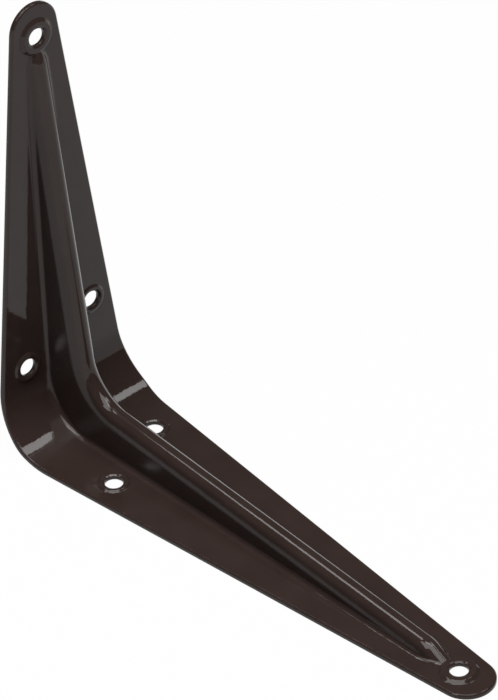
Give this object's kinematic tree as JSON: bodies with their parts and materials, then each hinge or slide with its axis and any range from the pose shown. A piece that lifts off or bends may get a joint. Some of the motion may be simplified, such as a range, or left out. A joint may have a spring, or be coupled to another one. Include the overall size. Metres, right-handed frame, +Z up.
{
  "type": "angle bracket",
  "caption": "Right-angle bracket pressed from sheet steel, with tapered round-ended arms, a hollow stiffening rib round the inside of the corner and screw holes, for holding up a shelf.",
  "frame": {"origin": "heel of the angle, where the planes of the arms' outer faces meet, midway across the width", "axes": "+X along the long arm, +Z up the short arm, +Y across the sheet; the arms' outer faces lie in X = 0 and Z = 0"},
  "size_m": [0.125, 0.0332, 0.1],
  "materials": {
    "enamel": "gloss"
  },
  "bodies": {
    "root": {"bracket": "enamel"}
  },
  "joints": []
}
